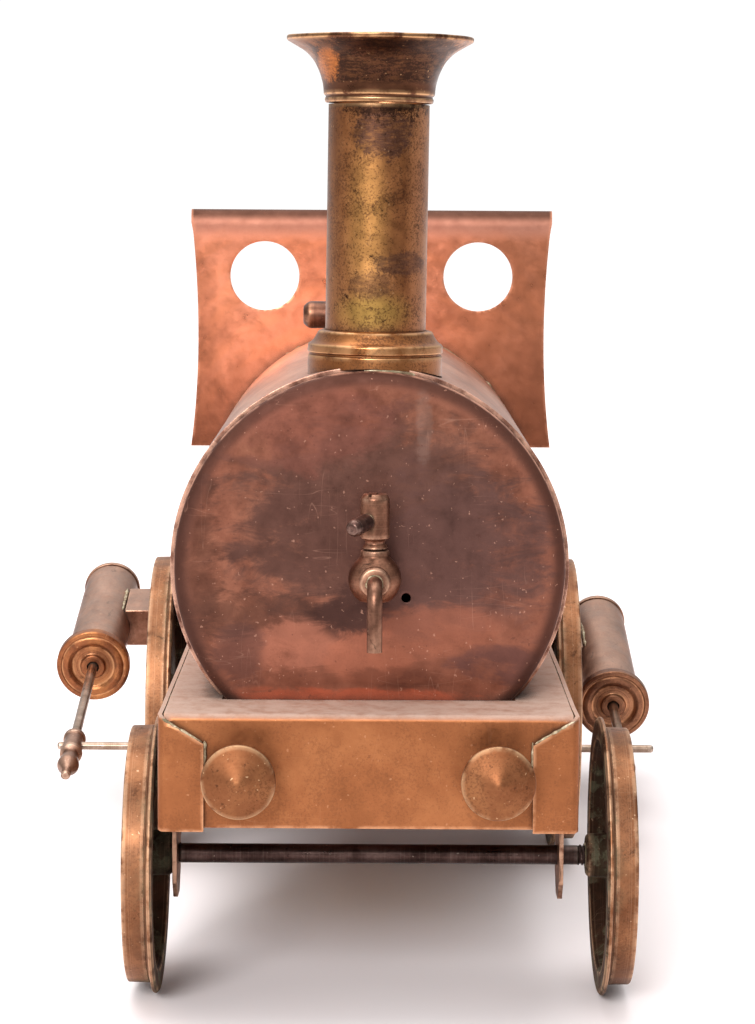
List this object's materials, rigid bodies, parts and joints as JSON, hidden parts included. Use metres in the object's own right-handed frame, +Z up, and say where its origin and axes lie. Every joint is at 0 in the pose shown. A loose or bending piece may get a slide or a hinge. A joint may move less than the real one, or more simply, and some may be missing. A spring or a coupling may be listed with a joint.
{
  "type": "model steam engine",
  "caption": "Model steam locomotive in copper and brass: boiler on a folded frame, bell-mouthed chimney, waisted weatherboard, flanged wheels and outside oscillating cylinders.",
  "frame": {"origin": "centre of the footprint, on the floor the wheels stand on", "axes": "+Z up, +Y from the front beam towards the rear, +X to the viewer's right when looking at the front; left and right in the names are as seen from the front"},
  "size_m": [0.1526, 0.2638, 0.1901],
  "materials": {
    "frame_copper": "satin, dusty, tarnished copper sheet",
    "boiler_copper": "satin, tarnished copper tube",
    "boiler_plate": "satin, dark purple-brown heat-tarnished copper",
    "board_copper": "satin, bright orange-pink copper sheet",
    "chimney_brass": "satin, golden-olive brass with brown mottling",
    "buffer_brass": "matt turned brass",
    "fitting_bronze": "aged turned brass",
    "pipe_copper": "drawn copper pipe",
    "wheel_brass": "turned brass, dark verdigris in the dished web",
    "cylinder_brass": "browned brass",
    "cover_brass": "turned brass with concentric rings",
    "burner_brass": "soldered sheet brass",
    "axle_steel": "dark oiled steel with rust bloom",
    "rod_steel": "worn steel rod",
    "dark_steel": "blackened steel",
    "solder": "dull grey-green soft solder",
    "wick": "cotton wick, charred tip"
  },
  "bodies": {
    "chassis": {"frame_top_plate": "frame_copper", "side_plate_left": "frame_copper", "side_plate_right": "frame_copper", "buffer_left": "buffer_brass", "buffer_right": "buffer_brass", "boiler_barrel": "boiler_copper", "boiler_front_plate": "boiler_plate", "boiler_rear_plate": "boiler_plate", "weatherboard": "board_copper", "chimney_base": "chimney_brass", "chimney_tube": "chimney_brass", "chimney_cap": "chimney_brass", "tap_body": "fitting_bronze", "tap_spout": "fitting_bronze", "regulator_body": "fitting_bronze", "safety_valve_seat": "fitting_bronze", "safety_valve_spring": "dark_steel", "steam_pipe": "pipe_copper", "steam_branch_left": "pipe_copper", "steam_branch_right": "pipe_copper", "burner_tank": "burner_brass", "burner_hanger_front": "frame_copper", "burner_hanger_rear": "frame_copper", "port_block_left": "cylinder_brass", "port_block_right": "cylinder_brass", "front_axle_bracket_left": "frame_copper", "front_axle_bracket_right": "frame_copper", "driving_axle_bracket_left": "frame_copper", "driving_axle_bracket_right": "frame_copper"},
    "front_wheelset": {"front_axle": "axle_steel", "front_wheel_left": "wheel_brass", "front_wheel_right": "wheel_brass"},
    "driving_wheelset": {"driving_axle": "axle_steel", "driving_wheel_left": "wheel_brass", "driving_wheel_right": "wheel_brass"},
    "tap_key": {"tap_plug": "fitting_bronze", "tap_lever": "dark_steel"},
    "regulator_key": {"regulator_plug": "fitting_bronze", "regulator_handle": "dark_steel"},
    "safety_valve": {"safety_valve_spindle": "fitting_bronze", "safety_valve_nut": "fitting_bronze"},
    "cylinder_left": {"cylinder_barrel_left": "cylinder_brass", "cylinder_front_cover_left": "cover_brass", "cylinder_rear_cover_left": "cylinder_brass", "trunnion_pin_left": "axle_steel", "trunnion_spring_left": "dark_steel", "trunnion_nut_left": "fitting_bronze"},
    "piston_left": {"piston_rod_left": "rod_steel", "big_end_left": "fitting_bronze", "crank_pin_left": "rod_steel"},
    "cylinder_right": {"cylinder_barrel_right": "cylinder_brass", "cylinder_front_cover_right": "cover_brass", "cylinder_rear_cover_right": "cylinder_brass", "trunnion_pin_right": "axle_steel", "trunnion_spring_right": "dark_steel", "trunnion_nut_right": "fitting_bronze"},
    "piston_right": {"piston_rod_right": "rod_steel", "big_end_right": "fitting_bronze", "crank_pin_right": "rod_steel"}
  },
  "joints": [
    {"name": "front_axle_spin", "type": "hinge", "parent": "chassis", "child": "front_wheelset", "pos_m": [0.00635, -0.0906, 0.0275], "axis": [1, 0, 0], "continuous": true},
    {"name": "driving_axle_spin", "type": "hinge", "parent": "chassis", "child": "driving_wheelset", "pos_m": [0.00285, 0.0385, 0.0362], "axis": [1, 0, 0], "continuous": true},
    {"name": "cylinder_left_rock", "type": "hinge", "parent": "chassis", "child": "cylinder_left", "pos_m": [-0.05345, 0.1083, 0.0452], "axis": [1, 0, 0], "range_deg": [-19.4, 9.1]},
    {"name": "piston_left_slide", "type": "slide", "parent": "cylinder_left", "child": "piston_left", "axis": [0, 0.9762, 0.2168], "range_m": [-0.0014, 0.0332]},
    {"name": "cylinder_right_rock", "type": "hinge", "parent": "chassis", "child": "cylinder_right", "pos_m": [0.05805, 0.1083, 0.03645], "axis": [1, 0, 0], "range_deg": [-27.9, 0.9]},
    {"name": "piston_right_slide", "type": "slide", "parent": "cylinder_right", "child": "piston_right", "axis": [0, 0.9716, 0.2368], "range_m": [-0.0253, 0.0094]},
    {"name": "tap_key_turn", "type": "hinge", "parent": "chassis", "child": "tap_key", "pos_m": [0.00505, -0.111, 0.0973], "axis": [0, 0, 1], "range_deg": [-62, 28]},
    {"name": "regulator_key_turn", "type": "hinge", "parent": "chassis", "child": "regulator_key", "pos_m": [0.00405, -0.0407, 0.133], "axis": [0, 0, 1], "range_deg": [-90, 0]},
    {"name": "safety_valve_lift", "type": "slide", "parent": "chassis", "child": "safety_valve", "axis": [0, 0, 1], "range_m": [0, 0.002], "stiffness_N_per_m": 100, "springref_m": -0.004, "deforming": ["safety_valve_spring"]}
  ]
}
